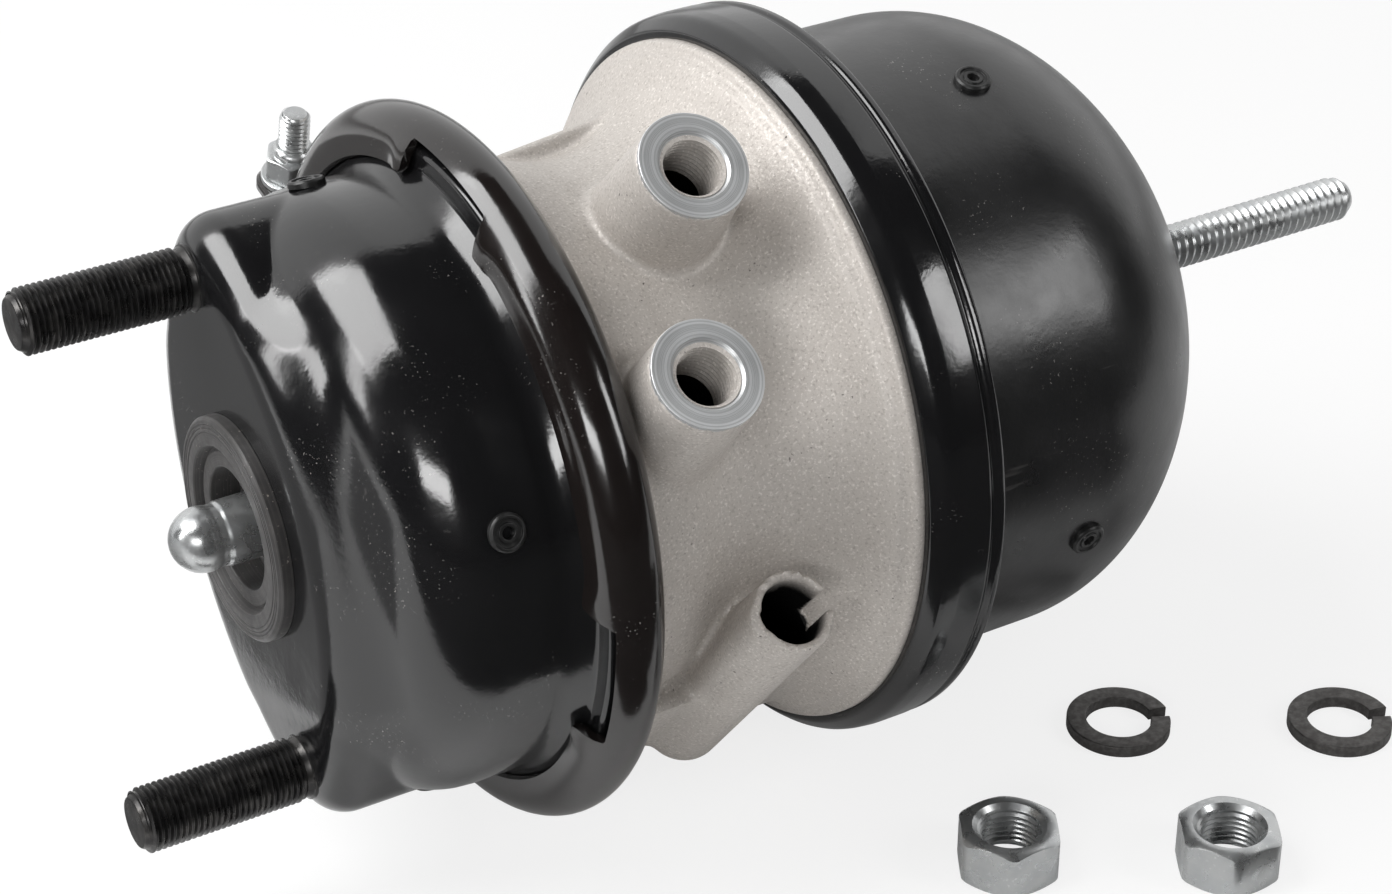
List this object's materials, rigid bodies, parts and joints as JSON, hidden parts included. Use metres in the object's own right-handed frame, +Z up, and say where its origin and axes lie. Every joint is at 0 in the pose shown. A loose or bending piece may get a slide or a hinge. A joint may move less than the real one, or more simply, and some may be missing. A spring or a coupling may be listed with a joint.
{
  "type": "spring brake chamber",
  "caption": "Combined service and spring brake air actuator for a truck disc brake, with stud mount, clamp band, cast centre housing and release bolt.",
  "frame": {"origin": "centre of the mounting face, on the chamber axis, midway between the two studs", "axes": "+X along the chamber axis from the mounting face to the release bolt, +Z up as the chamber lies on a floor; the line through the studs is turned 22.5 degrees from +Z towards +Y"},
  "size_m": [0.3805, 0.2489, 0.1886],
  "materials": {
    "gloss_black_paint": "gloss",
    "satin_black_paint": "satin",
    "black_oxide_steel": "matt black oxide",
    "cast_aluminium": "blasted die casting",
    "zinc_plated_steel": "bright zinc",
    "phosphated_steel": "dark phosphate",
    "spring_steel": "dark coated",
    "plain_steel": "pressed",
    "seal_rubber": "matt",
    "diaphragm_rubber": "matt",
    "black_plastic": "satin",
    "bearing_plastic": "smooth"
  },
  "bodies": {
    "root": {"front_pot": "gloss_black_paint", "clamp_band": "gloss_black_paint", "crimp_ring": "gloss_black_paint", "rear_pot": "satin_black_paint", "upper_stud": "black_oxide_steel", "lower_stud": "black_oxide_steel", "centre_housing": "cast_aluminium", "clamp_bolt": "zinc_plated_steel", "clamp_nut": "zinc_plated_steel", "clamp_washer": "zinc_plated_steel", "release_washer": "zinc_plated_steel", "mounting_nut_1": "zinc_plated_steel", "mounting_nut_2": "zinc_plated_steel", "lock_washer_1": "phosphated_steel", "lock_washer_2": "phosphated_steel", "circlip": "phosphated_steel", "return_spring": "spring_steel", "adapter_spring": "spring_steel", "power_spring": "spring_steel", "front_seal": "seal_rubber", "dust_boot": "seal_rubber", "front_rod_seal": "seal_rubber", "rear_rod_seal": "seal_rubber", "service_diaphragm": "diaphragm_rubber", "spring_diaphragm": "diaphragm_rubber", "front_drain_plugs": "black_plastic", "rear_drain_plugs": "black_plastic", "guide_bush": "bearing_plastic"},
    "spring_piston": {"pressure_plate": "plain_steel", "push_tube": "plain_steel", "tube_head": "plain_steel", "release_bolt": "zinc_plated_steel"},
    "service_rod": {"push_rod": "zinc_plated_steel", "push_plate": "plain_steel"},
    "release_nut": {"release_nut": "zinc_plated_steel"}
  },
  "joints": [
    {"name": "spring_piston_slide", "type": "slide", "parent": "root", "child": "spring_piston", "axis": [-1, 0, 0], "range_m": [0, 0.057], "deforming": ["power_spring", "adapter_spring", "spring_diaphragm"]},
    {"name": "push_rod_slide", "type": "slide", "parent": "root", "child": "service_rod", "axis": [-1, 0, 0], "range_m": [0, 0.057], "deforming": ["return_spring", "dust_boot", "service_diaphragm"]},
    {"name": "release_nut_spin", "type": "hinge", "parent": "root", "child": "release_nut", "pos_m": [0.2615, 0, 0], "axis": [1, 0, 0], "range_deg": [0, 7900]}
  ],
  "couplings": [
    {"joint": "push_rod_slide", "follows": "spring_piston_slide", "ratio": 1},
    {"joint": "release_nut_spin", "follows": "spring_piston_slide", "rad_per_m": 2416.6}
  ]
}
